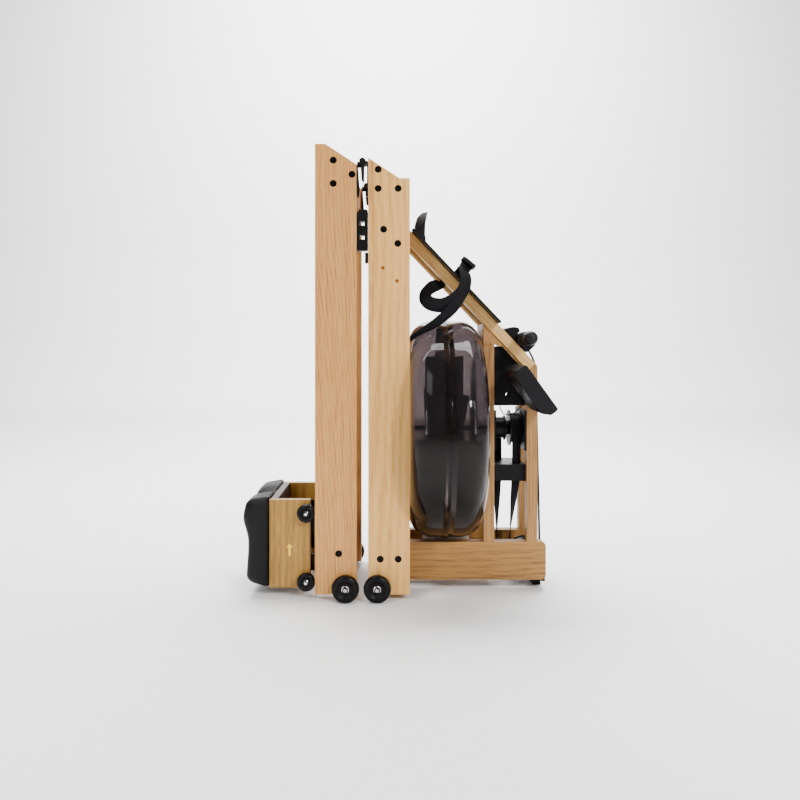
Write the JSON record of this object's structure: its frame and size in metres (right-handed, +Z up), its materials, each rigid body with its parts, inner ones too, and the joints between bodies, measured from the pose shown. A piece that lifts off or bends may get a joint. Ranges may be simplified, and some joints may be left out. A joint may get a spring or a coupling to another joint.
{
  "type": "rowing machine",
  "caption": "Folded wooden rower standing on end, with a water tank, paddle, strap-driven handle, rolling seat, hinged rails and strapped foot plates.",
  "frame": {"origin": "centre of the footprint box, on the floor the folded machine stands on", "axes": "+Z up along the folded rails, +X from the seat side to the tank side, +Y to the user's left across the machine"},
  "size_m": [0.749, 0.562, 1.097],
  "materials": {
    "oak": "satin",
    "dark_board": "satin",
    "black_steel": "satin",
    "steel": "brushed",
    "track_metal": "satin",
    "blade_plastic": "matte",
    "smoked_tank": "glossy",
    "water": "glossy",
    "black_rubber": "matte",
    "webbing": "matte",
    "seat_pad": "satin",
    "grip_rubber": "satin",
    "black_plastic": "matte",
    "grey_plastic": "matte"
  },
  "bodies": {
    "front_frame": {"front_rails": "oak", "front_hinge_block": "oak", "foot_crossmember": "oak", "front_blocks": "oak", "front_uprights": "oak", "lower_deck_bars": "oak", "upper_deck_bars": "oak", "foot_spars": "oak", "deck_wedge_block": "oak", "tank_support_boards": "oak", "deck_cheeks": "black_steel", "bearing_plates": "black_steel", "strap_guide": "black_plastic", "tank_shell_lower": "smoked_tank", "tank_shell_upper": "smoked_tank", "tank_fittings": "black_plastic", "water_fill": "water", "front_fasteners": "black_steel", "rubber_feet": "black_rubber", "hinge_front": "black_steel", "frame_axles": "steel", "bungee_cord": "webbing", "recoil_strap": "webbing", "drive_strap": "webbing", "sensor_lead": "black_rubber", "handle_cradles": "black_plastic", "console_arm": "black_steel"},
    "rear_frame": {"rear_rails": "oak", "rear_hinge_block": "oak", "rear_crossbar": "oak", "rear_fasteners": "black_steel", "hinge_rear": "black_steel", "fold_catch": "black_plastic", "seat_tracks": "track_metal"},
    "front_wheel_right": {"front_wheel_right": "black_rubber"},
    "front_wheel_left": {"front_wheel_left": "black_rubber"},
    "rear_wheel_right": {"rear_wheel_right": "black_rubber"},
    "rear_wheel_left": {"rear_wheel_left": "black_rubber"},
    "seat": {"seat_side_plates": "oak", "seat_base": "dark_board", "seat_cushion": "seat_pad", "seat_hardware": "black_steel"},
    "seat_wheel_upper_right": {"seat_wheel_upper_right": "black_rubber"},
    "seat_wheel_upper_left": {"seat_wheel_upper_left": "black_rubber"},
    "seat_wheel_lower_right": {"seat_wheel_lower_right": "black_rubber"},
    "seat_wheel_lower_left": {"seat_wheel_lower_left": "black_rubber"},
    "strap_drum": {"strap_drum": "black_plastic"},
    "paddle": {"paddle": "blade_plastic"},
    "handle": {"handle_bar": "grip_rubber", "handle_strap": "webbing"},
    "top_roller": {"top_roller": "black_plastic"},
    "front_pulley": {"front_pulley": "black_plastic"},
    "recoil_pulley": {"recoil_pulley": "black_plastic"},
    "console": {"console_housing": "black_plastic"},
    "console_button": {"console_button": "grey_plastic"},
    "foot_plate_right": {"foot_plate_right": "black_plastic", "foot_strap_right": "webbing"},
    "foot_plate_left": {"foot_plate_left": "black_plastic", "foot_strap_left": "webbing"}
  },
  "joints": [
    {"name": "fold", "type": "hinge", "parent": "front_frame", "child": "rear_frame", "pos_m": [-0.081, 0, 1.0561], "axis": [0, 1, 0], "range_deg": [0, 180]},
    {"name": "seat_slide", "type": "slide", "parent": "rear_frame", "child": "seat", "axis": [0, 0, 1], "range_m": [0, 0.84]},
    {"name": "handle_pull", "type": "slide", "parent": "front_frame", "child": "handle", "axis": [0, 0, 1], "range_m": [0, 1.2], "stiffness_N_per_m": 25, "springref_m": -0.2, "deforming": ["handle_strap"]},
    {"name": "drum_spin", "type": "hinge", "parent": "front_frame", "child": "strap_drum", "pos_m": [0.287, 0, 0.4], "axis": [1, 0, 0], "continuous": true},
    {"name": "front_pulley_spin", "type": "hinge", "parent": "front_frame", "child": "front_pulley", "pos_m": [0.334, 0, 0.075], "axis": [0, 1, 0], "continuous": true},
    {"name": "top_roller_spin", "type": "hinge", "parent": "front_frame", "child": "top_roller", "pos_m": [0.344, 0, 0.543], "axis": [0, 1, 0], "continuous": true},
    {"name": "recoil_pulley_spin", "type": "hinge", "parent": "front_frame", "child": "recoil_pulley", "pos_m": [0.244, 0, 0.075], "axis": [0, 1, 0], "continuous": true},
    {"name": "paddle_spin", "type": "hinge", "parent": "front_frame", "child": "paddle", "pos_m": [0.125, 0, 0.4], "axis": [1, 0, 0], "continuous": true},
    {"name": "console_tilt", "type": "hinge", "parent": "front_frame", "child": "console", "pos_m": [0.2938, -0.15, 0.5426], "axis": [0, 1, 0], "range_deg": [-20, 25]},
    {"name": "console_button_press", "type": "slide", "parent": "console", "child": "console_button", "axis": [-0.8111, 0, -0.585], "range_m": [0, 0.0015], "stiffness_N_per_m": 400, "springref_m": -0.0005},
    {"name": "foot_plate_right_slide", "type": "slide", "parent": "front_frame", "child": "foot_plate_right", "axis": [0.6866, 0, -0.7271], "range_m": [-0.035, 0]},
    {"name": "foot_plate_left_slide", "type": "slide", "parent": "front_frame", "child": "foot_plate_left", "axis": [0.6866, 0, -0.7271], "range_m": [-0.035, 0]},
    {"name": "front_wheel_right_spin", "type": "hinge", "parent": "front_frame", "child": "front_wheel_right", "pos_m": [-0.045, -0.166, 0.033], "axis": [0, 1, 0], "continuous": true},
    {"name": "front_wheel_left_spin", "type": "hinge", "parent": "front_frame", "child": "front_wheel_left", "pos_m": [-0.045, 0.166, 0.033], "axis": [0, 1, 0], "continuous": true},
    {"name": "rear_wheel_right_spin", "type": "hinge", "parent": "rear_frame", "child": "rear_wheel_right", "pos_m": [-0.121, -0.166, 0.033], "axis": [0, 1, 0], "continuous": true},
    {"name": "rear_wheel_left_spin", "type": "hinge", "parent": "rear_frame", "child": "rear_wheel_left", "pos_m": [-0.121, 0.166, 0.033], "axis": [0, 1, 0], "continuous": true},
    {"name": "seat_wheel_upper_right_spin", "type": "hinge", "parent": "seat", "child": "seat_wheel_upper_right", "pos_m": [-0.2175, -0.138, 0.207], "axis": [0, 1, 0], "continuous": true},
    {"name": "seat_wheel_upper_left_spin", "type": "hinge", "parent": "seat", "child": "seat_wheel_upper_left", "pos_m": [-0.2175, 0.138, 0.207], "axis": [0, 1, 0], "continuous": true},
    {"name": "seat_wheel_lower_right_spin", "type": "hinge", "parent": "seat", "child": "seat_wheel_lower_right", "pos_m": [-0.2175, -0.138, 0.041], "axis": [0, 1, 0], "continuous": true},
    {"name": "seat_wheel_lower_left_spin", "type": "hinge", "parent": "seat", "child": "seat_wheel_lower_left", "pos_m": [-0.2175, 0.138, 0.041], "axis": [0, 1, 0], "continuous": true}
  ],
  "couplings": [
    {"joint": "drum_spin", "follows": "handle_pull", "rad_per_m": 26.3},
    {"joint": "front_pulley_spin", "follows": "handle_pull", "rad_per_m": -26.3},
    {"joint": "top_roller_spin", "follows": "handle_pull", "rad_per_m": -52.6},
    {"joint": "recoil_pulley_spin", "follows": "handle_pull", "rad_per_m": -39.5},
    {"joint": "seat_wheel_upper_right_spin", "follows": "seat_slide", "rad_per_m": 45.045},
    {"joint": "seat_wheel_upper_left_spin", "follows": "seat_slide", "rad_per_m": 45.045},
    {"joint": "seat_wheel_lower_right_spin", "follows": "seat_slide", "rad_per_m": 45.045},
    {"joint": "seat_wheel_lower_left_spin", "follows": "seat_slide", "rad_per_m": 45.045}
  ]
}
